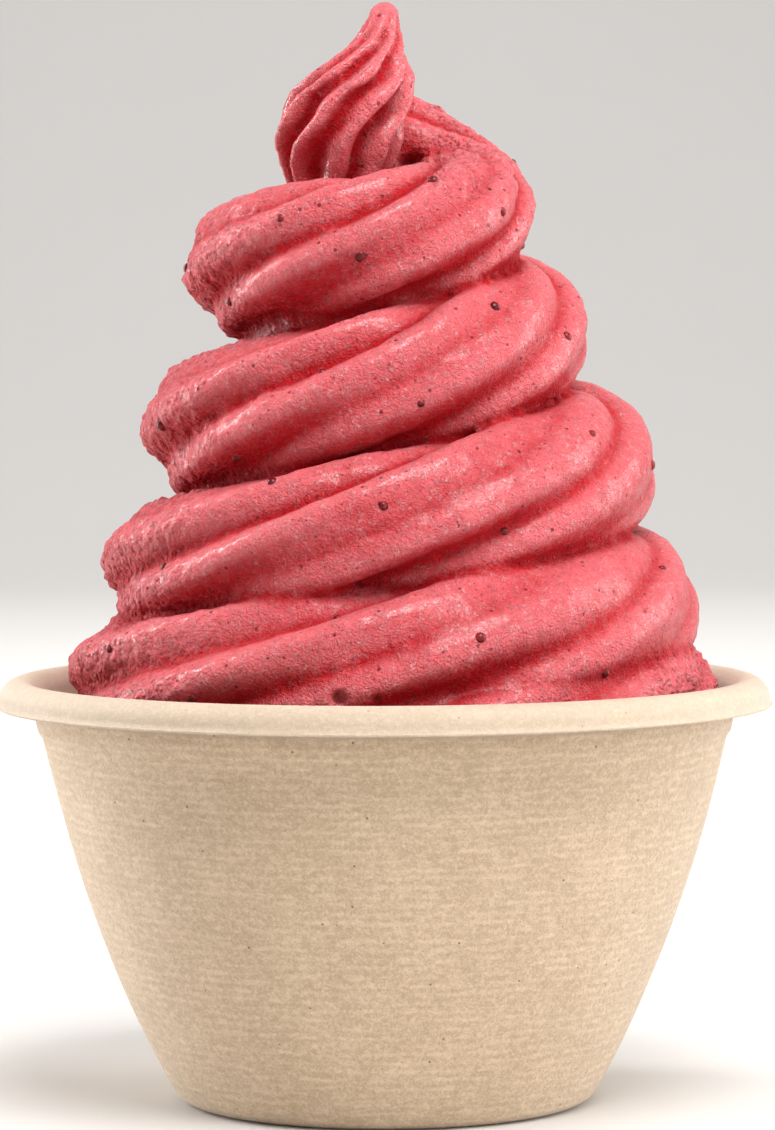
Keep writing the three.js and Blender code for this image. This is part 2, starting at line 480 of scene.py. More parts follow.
@dataclass(frozen=True)
class SeedFinish:
    """Berry seeds: dark maroon with a wet gloss."""

    deep: Colour = rgb(0.085, 0.005, 0.007)
    pale: Colour = rgb(0.26, 0.018, 0.020)
    mottle: Pattern = Pattern(1.1)
    mottle_edge: Span = (0.35, 0.7)

    def material(self) -> bpy.types.Material:
        """Build the seeds' material.

        Returns:
            The material.
        """
        shader = Shader("berry_seed")
        tone = shader.noise(shader.place(), self.mottle)
        return shader.surface({
            "Base Color": shader.mix(tone.rise(*self.mottle_edge), self.deep, self.pale),
            "Roughness": 0.18 + tone * 0.15,
            "Specular IOR Level": 0.25,
        })


@dataclass(frozen=True)
class FloorFinish:
    """A plain pale floor with the faintest cloudiness."""

    pale: Colour = rgb(0.66, 0.64, 0.62)
    deep: Colour = rgb(0.64, 0.62, 0.60)
    clouds: Pattern = Pattern(140.0)

    def material(self) -> bpy.types.Material:
        """Build the floor's material.

        Returns:
            The material.
        """
        shader = Shader("pale_floor")
        clouds = shader.noise(shader.place(), self.clouds)
        return shader.surface({"Base Color": shader.mix(clouds, self.deep, self.pale), "Roughness": 0.7})


@dataclass(frozen=True)
class Swell:
    """An unevenness of a skin: how far it moves it and how far apart its bumps lie, in millimetres."""

    height: float
    span: float

    def wave(self, spot: Vector) -> float:
        """Give the move of soft waves at a spot."""
        return self.height * noise.noise(spot / self.span)

    def lump(self, spot: Vector) -> float:
        """Give the move of rounded lumps at a spot, with creases where they meet."""
        return self.height * (0.5 - noise.voronoi(spot / self.span)[0][0])


def shaped(bm: bmesh.types.BMesh, name: str, crease_deg: float = 180.0) -> bpy.types.Object:
    """Turn a bmesh into an object at the origin, shaded smooth.

    Args:
        bm: The finished bmesh, which is freed.
        name: The object's name.
        crease_deg: Edges that turn more than this stay sharp.

    Returns:
        The object, linked to the scene.
    """
    mesh = bpy.data.meshes.new(name)
    bm.to_mesh(mesh)
    bm.free()
    mesh.shade_smooth()
    if crease_deg < 180.0:
        mesh.set_sharp_from_angle(angle=math.radians(crease_deg))
    piece = bpy.data.objects.new(name, mesh)
    bpy.context.scene.collection.objects.link(piece)
    return piece


def turned(bm: bmesh.types.BMesh, profile: Sequence[Point2], steps: int) -> None:
    """Turn a profile about the upright axis into a closed skin.

    Args:
        bm: The bmesh to add to.
        profile: Radius and height of each point, in millimetres, from axis to axis.
        steps: How many steps make the full turn.
    """
    verts = [bm.verts.new((radius * MM, 0.0, height * MM)) for radius, height in profile]
    edges = [bm.edges.new(pair) for pair in zip(verts, verts[1:])]
    before = set(bm.verts) - set(verts)
    axis = {"cent": ORIGIN, "axis": UP, "dvec": ORIGIN}
    bmesh.ops.spin(bm, geom=verts + edges, angle=TAU, steps=steps, use_merge=True, **axis)
    made = [vert for vert in bm.verts if vert not in before]
    bmesh.ops.remove_doubles(bm, verts=made, dist=WELD)


def swept(
    bm: bmesh.types.BMesh, columns: int, rings: int, point: Callable[[float, float], Vector]
) -> None:
    """Bend a grid into a closed tube with capped ends.

    Args:
        bm: The bmesh to add to.
        columns: How many columns go round the tube.
        rings: How many steps go along it.
        point: Where the tube's skin is, in metres, from shares along and round it.
    """
    grid = bmesh.ops.create_grid(bm, x_segments=columns, y_segments=rings, size=0.5)["verts"]
    for vert in grid:
        vert.co = point(vert.co.y + 0.5, vert.co.x + 0.5)
    bmesh.ops.remove_doubles(bm, verts=grid, dist=WELD)
    bmesh.ops.holes_fill(bm, edges=[edge for edge in bm.edges if edge.is_boundary], sides=0)


def settled(piece: bpy.types.Object, kind: str, settings: dict[str, Any]) -> None:
    """Reshape a piece's mesh with a modifier, for good.

    Args:
        piece: The piece to reshape.
        kind: The modifier's type.
        settings: The modifier's properties.
    """
    modifier = piece.modifiers.new(kind.lower(), kind)
    for name, value in settings.items():
        setattr(modifier, name, value)
    graph = bpy.context.evaluated_depsgraph_get()
    before = piece.data
    piece.data = bpy.data.meshes.new_from_object(piece.evaluated_get(graph))
    piece.data.name = piece.name
    piece.modifiers.clear()
    bpy.data.meshes.remove(before)


def discard(piece: bpy.types.Object) -> None:
    """Remove a working piece and its mesh.

    Args:
        piece: The piece to remove.
    """
    mesh = piece.data
    bpy.data.objects.remove(piece)
    bpy.data.meshes.remove(mesh)


def triangles(piece: bpy.types.Object) -> int:
    """Count a piece's triangles."""
    return sum(len(face.vertices) - 2 for face in piece.data.polygons)


def handed_over(piece: bpy.types.Object, slot: Slot, node: CadNode | None = None) -> None:
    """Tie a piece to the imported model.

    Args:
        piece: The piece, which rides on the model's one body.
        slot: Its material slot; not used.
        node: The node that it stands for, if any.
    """
    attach(piece, BODY)
    if node is not None:
        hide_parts(node.value)


@dataclass(frozen=True)
class PulpSheet:
    """The cup's sheet of pulp in section: radius and height in millimetres."""

    rim_radius: float = 57.0
    height: float = 62.5
    wall: float = 1.3
    base_radius: float = 28.0
    heel_round: float = 3.8
    heel_lean_deg: float = 29.5
    wall_top: Point2 = (50.3, 54.0)
    wall_top_lean_deg: float = 12.7
    stack_step: Point2 = (0.6, 0.8)
    rim_inner_round: float = 1.7
    rim_outer_round: float = 1.7
    rim_skirt: float = 4.0
    rim_bead: Point2 = (0.4, 0.5)
    bead_shares: tuple[Point2, ...] = ((0.6, 0.0), (1.0, 0.25), (1.0, 0.6), (0.4, 1.0))
    wall_steps: int = 26
    round_steps: int = 8

    def arc(self, centre: Point2, radius: float, start_deg: float, end_deg: float) -> list[Point2]:
        """Give the points of an arc after its first one.

        Args:
            centre: The arc's middle.
            radius: Its radius.
            start_deg: The angle of its first point.
            end_deg: The angle of its last point.

        Returns:
            The points.
        """
        points = []
        for step in range(1, self.round_steps + 1):
            angle = math.radians(lerp(start_deg, end_deg, step / self.round_steps))
            points.append((centre[0] + radius * math.cos(angle), centre[1] + radius * math.sin(angle)))
        return points

    def wall_curve(self, foot: Point2) -> list[Point2]:
        """Give the bellied wall from the heel up to the stacking step.

        Args:
            foot: The end of the heel, where the wall starts.

        Returns:
            The wall's points after the foot.
        """
        foot_lean = math.radians(self.heel_lean_deg)
        top_lean = math.radians(self.wall_top_lean_deg)
        foot_way = Vector((math.sin(foot_lean), math.cos(foot_lean)))
        top_way = Vector((math.sin(top_lean), math.cos(top_lean)))
        start = Vector(foot)
        end = Vector(self.wall_top)
        bend = start + foot_way * ((end - start).cross(top_way) / foot_way.cross(top_way))
        shares = [step / self.wall_steps for step in range(1, self.wall_steps + 1)]
        return [tuple(start.lerp(bend, s).lerp(bend.lerp(end, s), s)) for s in shares]

    def face(self) -> list[Point2]:
        """Give the sheet's outer face.

        Returns:
            Its points, from the middle of the base to the foot of the skirt.
        """
        points = [(0.0, 0.0), (self.base_radius * 0.5, 0.0), (self.base_radius, 0.0)]
        heel = (self.base_radius, self.heel_round)
        points += self.arc(heel, self.heel_round, -90.0, -self.heel_lean_deg)
        points += self.wall_curve(points[-1])
        step = (self.wall_top[0] + self.stack_step[0], self.wall_top[1] + self.stack_step[1])
        roof = self.height - self.wall
        neck_height = roof - self.rim_inner_round
        neck = step[0] + (neck_height - step[1]) * math.tan(math.radians(self.wall_top_lean_deg))
        points += [step, (lerp(step[0], neck, 0.5), lerp(step[1], neck_height, 0.5)), (neck, neck_height)]
        inner = (neck + self.rim_inner_round, neck_height)
        points += self.arc(inner, self.rim_inner_round, 180.0, 90.0)
        skirt = self.rim_radius - self.rim_bead[0] - self.wall
        outer = (skirt - self.rim_outer_round, roof - self.rim_outer_round)
        points += [(outer[0], roof)] + self.arc(outer, self.rim_outer_round, 90.0, 0.0)
        return points + [(skirt, self.height - self.rim_skirt)]

    def inset(self, distance: float) -> list[Point2]:
        """Move the outer face into the cup.

        Args:
            distance: How far it moves.

        Returns:
            The moved points.
        """
        points = [Vector(point) for point in self.face()]
        moved = []
        for index, point in enumerate(points):
            after = points[min(index + 1, len(points) - 1)]
            way = Vector((1.0, 0.0)) if index == 0 else (after - points[index - 1]).normalized()
            moved.append((max(point.x - way.y * distance, 0.0), point.y + way.x * distance))
        return moved

    def outline(self) -> list[Point2]:
        """Give the whole sheet's outline.

        Returns:
            The points of its two faces, joined by the bead at the foot of the skirt.
        """
        inner = self.inset(self.wall)
        edge = inner[-1]
        out, rise = self.rim_bead
        bead = [(edge[0] + out * far, edge[1] + rise * high) for far, high in self.bead_shares]
        return self.face() + bead + inner[-2::-1]


@dataclass
class PulpCup:
    """The moulded cup: one sheet turned round, with the slight unevenness of pressed pulp."""

    sheet: PulpSheet = field(default_factory=PulpSheet)
    finish: PulpFinish = field(default_factory=PulpFinish)
    steps: int = 168
    crease_deg: float = 50.0
    swells: tuple[Swell, ...] = (Swell(0.16, 26.0), Swell(0.05, 5.0))
    even_below: Span = (2.0, 12.0)
    even_above: Span = (62.4, 60.0)
    axis_clear: float = 0.1

    def build(self) -> bpy.types.Object:
        """Build the cup's mesh.

        Returns:
            The cup's object.
        """
        bm = bmesh.new()
        turned(bm, self.sheet.outline(), self.steps)
        bmesh.ops.recalc_face_normals(bm, faces=bm.faces)
        for vert in bm.verts:
            self.warp(vert)
        return shaped(bm, "pulp_cup", self.crease_deg)

    def warp(self, vert: bmesh.types.BMVert) -> None:
        """Move a vertex in or out, the same through the sheet, and leave the base and the rim's top even.

        Args:
            vert: The vertex to move.
        """
        out = Vector((vert.co.x, vert.co.y, 0.0))
        if out.length < self.axis_clear * MM:
            return
        spot = vert.co / MM
        height = vert.co.z / MM
        spot.xy = out.normalized().xy * self.sheet.base_radius
        amount = sum(swell.wave(spot) for swell in self.swells)
        lift = smoothstep(height, *self.even_below) * smoothstep(height, *self.even_above)
        vert.co += out.normalized() * (amount * lift * MM)

    def dress(self, piece: bpy.types.Object) -> None:
        """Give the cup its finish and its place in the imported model."""
        piece.data.materials.append(self.finish.material())
        handed_over(piece, Slot.PULP, CadNode.CUP)


@dataclass(frozen=True)
class Flutes:
    """The ridges round a strand of soft serve: crests that droop over grooves, every other one deeper."""

    count: int = 6
    depth: float = 0.33
    uneven: float = 0.30
    droop: float = 1.45
    sag: float = 0.04
    fade: float = 0.45
    fade_span: float = 0.22
    fade_round: float = 1.3
    meander: float = 0.16
    meander_span: float = 0.16

    def wandered(self, angle: float, along: float) -> float:
        """Give an angle round the section moved by the ridges' wandering."""
        spot = Vector((math.cos(angle), math.sin(angle), along / self.meander_span))
        return angle + self.meander * noise.noise(spot)

    def crest(self, angle: float) -> float:
        """Give how far up a ridge's side an angle lies, from 0 in a groove to 1 on the crest."""
        across = (angle / TAU * self.count) % 1.0
        return math.sin(math.pi * across**self.droop)

    def share(self, angle: float, along: float, strength: float = 1.0) -> float:
        """Give the reach of the fluted section as a share of the half thickness.

        Args:
            angle: Radians round the section, from the ridges' own start.
            along: Turns along the strand.
            strength: How much of their depth the grooves have.

        Returns:
            A share of at most about 1.
        """
        proud = 1.0 + self.uneven * math.cos(0.5 * self.count * angle)
        round_x = self.fade_round * math.cos(angle)
        round_y = self.fade_round * math.sin(angle)
        faded = 1.0 + self.fade * noise.noise(Vector((round_x, round_y, along / self.fade_span)))
        return 1.0 - self.depth * strength * proud * faded * (1.0 - self.crest(angle))

    def sagged(self, angle: float) -> float:
        """Give the angle that a crest has slumped by."""
        return self.sag * self.crest(angle)


@dataclass(frozen=True)
class Rope:
    """The wound strand. Each station is a half turn along it, and turn 0 points right."""

    first_turn: float = -1.0
    station: float = 0.5
    reach: tuple[float, ...] = (43, 45.4, 49, 47, 46.4, 41.6, 40.4, 35.6, 30.3, 29.4, 22, 6.6)
    height: tuple[float, ...] = (42, 49.5, 60, 60.8, 73, 78.2, 93.4, 98.8, 113.2, 122.4, 131, 147)
    half: tuple[float, ...] = (11.6, 11.6, 11.6, 12, 11.6, 10.2, 11.6, 11, 10.8, 10.3, 9.6, 3.6)
    tail_lift: float = 5.0
    tail_turns: Span = (3.95, 4.25)
    twist_per_turn: float = 0.97
    twist_start: float = 3.34
    twist_swing: float = 0.5
    twist_swing_turn: float = 0.87
    left_flat: float = 0.45
    left_narrow: int = 3
    right_flat: float = 0.65
    right_narrow: int = 4
    right_turn: float = 0.90
    squash: float = 0.5
    squash_narrow: int = 6
    axis_clear: float = 0.5
    columns: int = 96
    rings_per_turn: int = 96
    flutes: Flutes = field(default_factory=Flutes)

    @property
    def last_turn(self) -> float:
        """The turn at the strand's upper end."""
        return self.first_turn + self.station * (len(self.reach) - 1)

    def at(self, stations: Sequence[float], turn: float) -> float:
        """Read one of the station lists at a turn."""
        return through(stations, (turn - self.first_turn) / self.station)

    def middle(self, turn: float) -> float:
        """Give the height of the strand's middle at a turn."""
        return self.at(self.height, turn) + self.tail_lift * smoothstep(turn, *self.tail_turns)

    def twist(self, turn: float) -> float:
        """Give how far the ridges have climbed round the strand; they climb fastest at the right."""
        swing = self.twist_swing * math.sin(TAU * (turn - self.twist_swing_turn))
        return self.twist_start + self.twist_per_turn * TAU * turn + swing

    def facing(self, turn: float, middle: float = 0.0) -> float:
        """Give how near a turn's direction is to a middle one, from 0 opposite it to 1 on it."""
        return 0.5 + 0.5 * math.cos(TAU * (turn - middle))

    def strength(self, turn: float, angle: float) -> float:
        """Give how strong the grooves are: weaker at the sides and where one turn rests on another.

        Args:
            turn: Turns along the strand.
            angle: Radians round its section, from straight out, upwards.

        Returns:
            A share of the grooves' full depth.
        """
        rightward = self.facing(turn)
        left = self.left_flat * (1.0 - rightward) ** self.left_narrow
        right = self.right_flat * self.facing(turn, self.right_turn) ** self.right_narrow
        pressed = self.squash * rightward * math.sin(angle) ** self.squash_narrow
        return (1.0 - left - right) * (1.0 - pressed)

    def point(self, turn: float, angle: float) -> Vector:
        """Give a point of the strand's skin.

        Args:
            turn: Turns along the strand.
            angle: Radians round its section, from straight out, upwards.

        Returns:
            The point, in metres.
        """
        local = self.flutes.wandered(angle - self.twist(turn), turn)
        half = self.at(self.half, turn)
        reach = half * self.flutes.share(local, turn, self.strength(turn, angle))
        lean = angle - self.flutes.sagged(local)
        radius = max(self.at(self.reach, turn) - half + reach * math.cos(lean), self.axis_clear)
        height = self.middle(turn) + reach * math.sin(lean)
        way = TAU * turn
        return Vector((radius * math.cos(way), radius * math.sin(way), height)) * MM

    def skin(self, along: float, around: float) -> Vector:
        """Give a point of the skin from shares along and round the strand."""
        turn = lerp(self.first_turn, self.last_turn, along)
        return self.point(turn, self.twist(turn) + TAU * around)

    def rings(self) -> int:
        """Count the steps along the strand."""
        return round((self.last_turn - self.first_turn) * self.rings_per_turn)


@dataclass(frozen=True)
class Peak:
    """The strand's tail pulled up to a leaning point, as level sections."""

    height: tuple[float, ...] = (132, 137, 141, 144.5, 147.5, 150.5, 153.2, 156, 158.8, 160.6, 161.5)
    radius: tuple[float, ...] = (6.4, 8.4, 9.7, 9.8, 9.3, 8, 5.9, 3.7, 2.6, 2.0, 0.6)
    lean: Span = (-6.6, 0.4)
    bend: Span = (140, 161)
    bow: float = -3.5
    twist: float = 2.4
    columns: int = 96
    rings: int = 80
    flutes: Flutes = Flutes(count=8, depth=0.40, uneven=0.15, fade=0.25)

    def skin(self, along: float, around: float) -> Vector:
        """Give a point of the peak's skin.

        Args:
            along: The share of the way up.
            around: The share of the way round.

        Returns:
            The point, in metres.
        """
        place = along * (len(self.height) - 1)
        height = through(self.height, place)
        across = lerp(self.lean[0], self.lean[1], smoothstep(height, *self.bend))
        angle = self.twist * along + TAU * around
        local = self.flutes.wandered(TAU * around, along)
        reach = through(self.radius, place) * self.flutes.share(local, along)
        depth = self.bow * math.sin(math.pi * along)
        return Vector((across + reach * math.cos(angle), depth + reach * math.sin(angle), height)) * MM


@dataclass(frozen=True)
class TornSkin:
    """Where the skin tore as it was drawn out: the left-hand ends, the tail and a lump near the rim."""

    full_deg: float = 24.0
    none_deg: float = 66.0
    left_below: Span = (137.0, 127.0)
    tail_above: Span = (128.0, 136.0)
    tail_from: Span = (3.0, 8.0)
    tail_share: float = 0.8
    lump_from: Span = (34.0, 40.0)
    lump_below: Span = (70.0, 66.0)
    patches: Swell = Swell(16.0, 9.0)
    bend: Swell = Swell(1.3, 3.6)
    coarse: Swell = Swell(0.85, 2.5)
    fine: Swell = Swell(0.45, 1.3)

    def at(self, spot: Vector) -> float:
        """Give how torn the skin is.

        Args:
            spot: The place, in millimetres.

        Returns:
            A share from 0 to 1.
        """
        swing = abs(math.degrees(math.atan2(spot.y, -spot.x)))
        left = smoothstep(swing + self.patches.wave(spot), self.none_deg, self.full_deg)
        left *= smoothstep(spot.z, *self.left_below)
        tail = smoothstep(spot.z, *self.tail_above) * smoothstep(spot.x, *self.tail_from)
        lump = smoothstep(spot.x, *self.lump_from) * smoothstep(spot.z, *self.lump_below)
        return max(left, self.tail_share * tail, lump)

    def lumps(self, spot: Vector) -> float:
        """Give how far fully torn skin stands out or in at a spot, in millimetres."""
        bent = spot + self.bend.height * noise.noise_vector(spot / self.bend.span)
        return self.coarse.lump(bent) + self.fine.lump(bent)


@dataclass(frozen=True)
class Pit:
    """A hole in the front of the swirl, by its place across and up."""

    across: float
    height: float
    radius: float
    depth: float
    wall: Span = (1.5, 0.4)

    def press(self, bm: bmesh.types.BMesh, tree: BVHTree) -> None:
        """Push the skin in from the front, round what a straight line from the viewer's side meets.

        Args:
            bm: The skin to push.
            tree: The skin as it was before any pit.
        """
        start = Vector((self.across * MM, -1.0, self.height * MM))
        mouth = tree.ray_cast(start, Vector((0.0, 1.0, 0.0)))[0]
        if mouth is None:
            return
        edge, floor = (share * self.radius for share in self.wall)
        for vert in bm.verts:
            away = (vert.co - mouth).length / MM
            if away < edge:
                vert.co.y += self.depth * smoothstep(away, edge, floor) * MM


@dataclass
class SoftServe:
    """The swirl, its peak and the filling below it, as one skin."""

    sheet: PulpSheet
    rope: Rope = field(default_factory=Rope)
    peak: Peak = field(default_factory=Peak)
    torn: TornSkin = field(default_factory=TornSkin)
    pits: tuple[Pit, ...] = (
        Pit(4.2, 137.6, 1.9, 4.5),
        Pit(-6.3, 62.9, 1.0, 2.0),
        Pit(-1.1, 62.9, 0.7, 1.2),
    )
    swells: tuple[Swell, ...] = (Swell(0.32, 7.0), Swell(0.16, 2.6), Swell(0.09, 1.15))
    finish: SoftServeFinish = field(default_factory=SoftServeFinish)
    fit_gap: float = 0.3
    fill_level: float = 54.0
    fill_crown: float = 1.0
    cut_level: float = 52.6
    puck_points: int = 5
    core_share: float = 1.06
    core_sink: float = 4.0
    hidden_steps: int = 72
    grain: float = 0.58
    softenings: int = 28
    # Painted shade on undersides: how far down the skin faces, and how much lower it is marked
    underside: Span = (0.20, 0.80)
    underside_shade: float = 0.22
    most_triangles: int = 192_000
    skirt_levels: int = 7

    def build(self) -> bpy.types.Object:
        """Build the soft serve's mesh.

        Returns:
            The soft serve's object.
        """
        bm = bmesh.new()
        swept(bm, self.rope.columns, self.rope.rings(), self.rope.skin)
        swept(bm, self.peak.columns, self.peak.rings, self.peak.skin)
        turned(bm, self.core_profile(), self.hidden_steps)
        turned(bm, self.puck_profile(), self.hidden_steps)
        bmesh.ops.recalc_face_normals(bm, faces=bm.faces)
        bm = self.joined(bm)
        self.cut_foot(bm)
        axes = {"use_axis_x": True, "use_axis_y": True, "use_axis_z": True}
        bmesh.ops.smooth_vert(bm, verts=bm.verts, factor=0.5, **axes)
        self.roughen(bm)
        tree = BVHTree.FromBMesh(bm)
        for pit in self.pits:
            pit.press(bm, tree)
        self.fill_cup(bm)
        bmesh.ops.recalc_face_normals(bm, faces=bm.faces)
        piece = shaped(bm, "soft_serve_swirl")
        settled(piece, "DECIMATE", {"ratio": min(self.most_triangles / triangles(piece), 1.0)})
        return piece

    def core_profile(self) -> list[Point2]:
        """Give the hidden middle that the strand is wound round.

        Returns:
            Its profile, from axis to axis.
        """
        profile = [(0.0, self.fill_level - self.core_sink)]
        turn = 0.0
        while turn < self.rope.last_turn:
            radius = self.rope.at(self.rope.reach, turn) - self.rope.at(self.rope.half, turn)
            profile.append((radius * self.core_share, self.rope.middle(turn - self.rope.station / 2)))
            turn += self.rope.station
        return profile + [(0.0, profile[-1][1])]

    def cavity(self) -> list[Point2]:
        """Give the side of the filling, from the floor's middle up to its level."""
        inside = self.sheet.inset(self.sheet.wall + self.fit_gap)
        return [point for point in inside if point[1] < self.fill_level]

    def puck_profile(self) -> list[Point2]:
        """Give the top of the filling, which closes the swirl below."""
        side = self.cavity()[-self.puck_points :]
        return [(0.0, side[0][1])] + side + [(0.0, self.fill_level + self.fill_crown)]

    def joined(self, bm: bmesh.types.BMesh) -> bmesh.types.BMesh:
        """Melt overlapping skins into one outer skin.

        Args:
            bm: The overlapping skins, which are freed.

        Returns:
            The one skin, without the hollows that were shut in.
        """
        rough = shaped(bm, "rough_swirl")
        settled(rough, "REMESH", {"mode": "VOXEL", "voxel_size": self.grain * MM})
        whole = bmesh.new()
        whole.from_mesh(rough.data)
        discard(rough)
        top = max(whole.verts, key=lambda vert: vert.co.z)
        outer = {top}
        front = [top]
        while front:
            near = {edge.other_vert(vert) for vert in front for edge in vert.link_edges}
            front = list(near - outer)
            outer |= near
        shut_in = [vert for vert in whole.verts if vert not in outer]
        bmesh.ops.delete(whole, geom=shut_in, context="VERTS")
        return whole

    def cut_foot(self, bm: bmesh.types.BMesh) -> None:
        """Cut the skin off level below the filling's top.

        Args:
            bm: The skin to cut.
        """
        everything = list(bm.verts) + list(bm.edges) + list(bm.faces)
        plane = {"plane_co": (0.0, 0.0, self.cut_level * MM), "plane_no": UP}
        bmesh.ops.bisect_plane(bm, geom=everything, dist=WELD, clear_inner=True, **plane)

    def roughen(self, bm: bmesh.types.BMesh) -> None:
        """Push the skin in and out: soft waves everywhere, lumps and wrinkles where it is torn.

        How torn the skin is and how high it stands are stored for the finish. Undersides count as
        lower, so that the finish paints shade on them in deep red.

        Args:
            bm: The skin to push.
        """
        torn_layer = bm.verts.layers.float.new(self.finish.torn)
        crest_layer = bm.verts.layers.float.new(self.finish.crest)
        bm.normal_update()
        moves = []
        for vert, crest in zip(bm.verts, self.crests(bm)):
            spot = vert.co / MM
            torn = self.torn.at(spot)
            vert[torn_layer] = torn
            # Painted shade: skin that faces down is marked lower, so its colour goes deep red
            vert[crest_layer] = crest - self.underside_shade * smoothstep(-vert.normal.z, *self.underside)
            height = sum(swell.wave(spot) for swell in self.swells) + torn * self.torn.lumps(spot)
            moves.append(vert.normal * (height * smoothstep(spot.z, self.cut_level, self.fill_level) * MM))
        for vert, move in zip(bm.verts, moves):
            vert.co += move

    def crests(self, bm: bmesh.types.BMesh) -> list[float]:
        """Measure how far each vertex stands proud of the swirl's softened shape.

        Args:
            bm: The skin to measure.

        Returns:
            The heights in millimetres, in the order of the vertices.
        """
        soft = shaped(bm.copy(), "softened_swirl")
        settled(soft, "SMOOTH", {"factor": 0.5, "iterations": self.softenings})
        pairs = zip(bm.verts, soft.data.vertices)
        proud = [(vert.co - low.co).dot(vert.normal) / MM for vert, low in pairs]
        discard(soft)
        return proud

    def fill_cup(self, bm: bmesh.types.BMesh) -> None:
        """Carry the cut edge down the cup's inside to its floor and close it.

        Args:
            bm: The skin, open at its foot.
        """
        side = [point for point in self.cavity() if point[1] < self.cut_level]
        last = len(side) - 1
        levels = [side[round(last * (1.0 - step / self.skirt_levels))] for step in range(self.skirt_levels)]
        loop = [edge for edge in bm.edges if edge.is_boundary]
        for radius, height in levels:
            made = bmesh.ops.extrude_edge_only(bm, edges=loop)["geom"]
            ring = [item for item in made if isinstance(item, bmesh.types.BMVert)]
            for vert in ring:
                vert.co = Vector((vert.co.x, vert.co.y, 0.0)).normalized() * (radius * MM)
                vert.co.z = height * MM
            loop = [item for item in made if isinstance(item, bmesh.types.BMEdge) and item.is_boundary]
        bmesh.ops.edgeloop_fill(bm, edges=loop)

    def dress(self, piece: bpy.types.Object) -> None:
        """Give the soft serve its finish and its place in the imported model."""
        piece.data.materials.append(self.finish.material())
        handed_over(piece, Slot.SOFT_SERVE, CadNode.SOFT_SERVE)


@dataclass
class BerrySeeds:
    """Round seeds caught in the skin, spread along the strand's outer face by two uneven steps."""

    rope: Rope
    finish: SeedFinish = field(default_factory=SeedFinish)
    count: int = 60
    radius: Span = (0.6, 0.95)
    first_turn: float = 0.1
    face: Span = (-0.75, 1.15)
    golden: float = 0.61803398875
    plastic: float = 0.7548776662
    sunk: float = 0.45
    uneven: float = 0.12
    uneven_scale: float = 0.9
    detail: int = 2

    def build(self, skin: bpy.types.Object) -> bpy.types.Object:
        """Build all the seeds as one mesh.

        Args:
            skin: The soft serve, whose skin the seeds lie in.

        Returns:
            The seeds' object.
        """
        verts = [vert.co for vert in skin.data.vertices]
        faces = [tuple(face.vertices) for face in skin.data.polygons]
        tree = BVHTree.FromPolygons(verts, faces)
        bm = bmesh.new()
        for index in range(self.count):
            turn = lerp(self.first_turn, self.rope.last_turn, (index + 0.5) / self.count)
            angle = lerp(self.face[0], self.face[1], index * self.golden % 1.0)
            radius = lerp(self.radius[0], self.radius[1], index * self.plastic % 1.0)
            spot, normal, _, _ = tree.find_nearest(self.rope.point(turn, angle))
            self.add_seed(bm, spot - normal * (radius * self.sunk * MM), radius)
        return shaped(bm, "berry_seeds")

    def add_seed(self, bm: bmesh.types.BMesh, centre: Vector, radius: float) -> None:
        """Add one slightly uneven seed.

        Args:
            bm: The bmesh to add to.
            centre: The seed's middle, in metres.
            radius: Its radius, in millimetres.
        """
        ball = bmesh.ops.create_icosphere(bm, subdivisions=self.detail, radius=radius * MM)["verts"]
        for vert in ball:
            swell = noise.noise(vert.co.normalized() * self.uneven_scale + centre / MM)
            vert.co = centre + vert.co * (1.0 + self.uneven * swell)

    def dress(self, piece: bpy.types.Object) -> None:
        """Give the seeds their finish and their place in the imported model."""
        piece.data.materials.append(self.finish.material())
        handed_over(piece, Slot.SEED)


@dataclass(frozen=True)
class SoftBox:
    """A studio lamp with a broad face, aimed at the middle of the dessert unless it is told otherwise."""

    name: str
    azimuth_deg: float
    elevation_deg: float
    distance: float
    width: float
    height: float
    watts: float
    aim: Point3 | None = None

    def hang(self, middle: Vector) -> None:
        """Hang the lamp; azimuth 0 is the viewer's side and 90 the right.

        Args:
            middle: The middle of the dessert, which the lamp hangs round.
        """
        lamp = bpy.data.lights.new(self.name, "AREA")
        lamp.shape = "RECTANGLE"
        lamp.size = self.width
        lamp.size_y = self.height
        lamp.energy = self.watts
        azimuth = math.radians(self.azimuth_deg)
        elevation = math.radians(self.elevation_deg)
        way = Vector((math.sin(azimuth), -math.cos(azimuth), 0.0)) * math.cos(elevation)
        way.z = math.sin(elevation)
        holder = bpy.data.objects.new(self.name, lamp)
        holder.location = middle + way * self.distance
        aim = middle if self.aim is None else Vector(self.aim)
        holder.rotation_euler = (aim - holder.location).to_track_quat("-Z", "Y").to_euler()
        bpy.context.scene.collection.objects.link(holder)


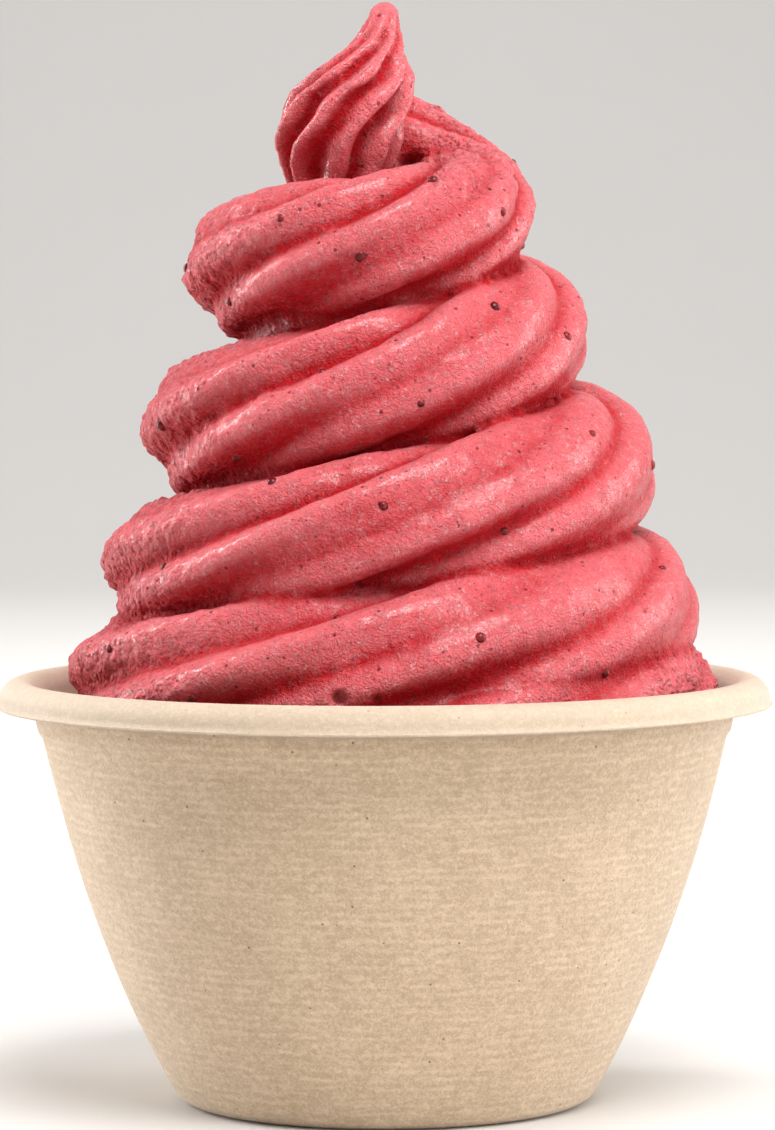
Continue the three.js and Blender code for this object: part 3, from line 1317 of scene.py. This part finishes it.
@dataclass
class Studio:
    """The pale floor that sweeps up behind the dessert, the lamps and the camera."""

    floor_half: float = 3.0
    sweep_from: float = 1.3
    sweep_radius: float = 0.8
    sweep_steps: int = 16
    wall_rise: float = 1.6
    target: Point3 = (0.0, 0.0, 0.085)
    camera_place: Point3 = (0.0005, -0.730, 0.118)
    camera_aim: Point3 = (0.0005, 0.0, 0.0789)
    camera_roll_deg: float = -0.2
    frame_height_px: int = 1130
    focal_px: float = 4970.0
    sensor_mm: float = 36.0
    world: Colour = rgb(0.9, 0.92, 0.95)
    world_strength: float = 0.05
    lamps: tuple[SoftBox, ...] = (
        SoftBox("top_key", 18.0, 60.0, 0.80, 0.44, 0.44, 9.1),
        SoftBox("right_fill", 44.0, 16.0, 0.80, 0.60, 0.60, 2.6),
        SoftBox("left_fill", -45.0, 18.0, 0.80, 0.50, 0.50, 0.7),
        SoftBox("right_strip", 104.0, 10.0, 0.60, 0.30, 0.60, 3.2),
        SoftBox("left_strip", -113.0, 14.0, 0.60, 0.12, 0.60, 4.6),
        SoftBox("backdrop_wash", 180.0, 56.0, 0.98, 1.60, 0.30, 20.0, (0.0, 1.5, 0.1)),
    )
    floor_finish: FloorFinish = field(default_factory=FloorFinish)

    def lay_floor(self) -> None:
        """Lay the floor, with its sweep and the wall behind."""
        bm = bmesh.new()
        left = -self.floor_half
        spots = [(left, left, 0.0), (left, self.sweep_from, 0.0)]
        for step in range(1, self.sweep_steps + 1):
            angle = math.pi / 2.0 * step / self.sweep_steps
            back = self.sweep_from + self.sweep_radius * math.sin(angle)
            spots.append((left, back, self.sweep_radius * (1.0 - math.cos(angle))))
        spots.append((left, spots[-1][1], spots[-1][2] + self.wall_rise))
        verts = [bm.verts.new(spot) for spot in spots]
        edges = [bm.edges.new(pair) for pair in zip(verts, verts[1:])]
        made = bmesh.ops.extrude_edge_only(bm, edges=edges)["geom"]
        far = [item for item in made if isinstance(item, bmesh.types.BMVert)]
        bmesh.ops.translate(bm, verts=far, vec=(2.0 * self.floor_half, 0.0, 0.0))
        bmesh.ops.recalc_face_normals(bm, faces=bm.faces)
        floor = shaped(bm, "pale_floor")
        floor.data.materials.append(self.floor_finish.material())

    def light(self) -> None:
        """Hang the lamps and set the even light of the room."""
        for lamp in self.lamps:
            lamp.hang(Vector(self.target))
        world = bpy.data.worlds.new("pale_room")
        world.use_nodes = True
        background = world.node_tree.nodes["Background"]
        background.inputs["Color"].default_value = self.world
        background.inputs["Strength"].default_value = self.world_strength
        bpy.context.scene.world = world
        bpy.context.scene.view_settings.view_transform = "Standard"

    def set_camera(self) -> None:
        """Stand the camera at the viewing angle."""
        data = bpy.data.cameras.new("camera")
        data.sensor_width = self.sensor_mm
        data.lens = self.focal_px * self.sensor_mm / self.frame_height_px
        camera = bpy.data.objects.new("camera", data)
        camera.location = self.camera_place
        way = Vector(self.camera_aim) - Vector(self.camera_place)
        turn = way.to_track_quat("-Z", "Y").to_matrix()
        roll = Euler((0.0, 0.0, math.radians(self.camera_roll_deg))).to_matrix()
        camera.rotation_euler = (turn @ roll).to_euler()
        bpy.context.scene.collection.objects.link(camera)
        bpy.context.scene.camera = camera


def report(piece: bpy.types.Object) -> None:
    """Log a piece's name and how many triangles it has."""
    LOG.info("%s: %d triangles", piece.name, triangles(piece))


def main() -> None:
    """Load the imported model, build and dress every piece in order and report it."""
    logging.basicConfig(level=logging.INFO, format="%(message)s")
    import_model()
    studio = Studio()
    studio.set_camera()
    studio.light()
    studio.lay_floor()
    cup = PulpCup()
    cup_piece = cup.build()
    cup.dress(cup_piece)
    report(cup_piece)
    soft_serve = SoftServe(cup.sheet)
    swirl_piece = soft_serve.build()
    soft_serve.dress(swirl_piece)
    report(swirl_piece)
    seeds = BerrySeeds(soft_serve.rope)
    seeds_piece = seeds.build(swirl_piece)
    seeds.dress(seeds_piece)
    report(seeds_piece)


if __name__ == "__main__":
    main()
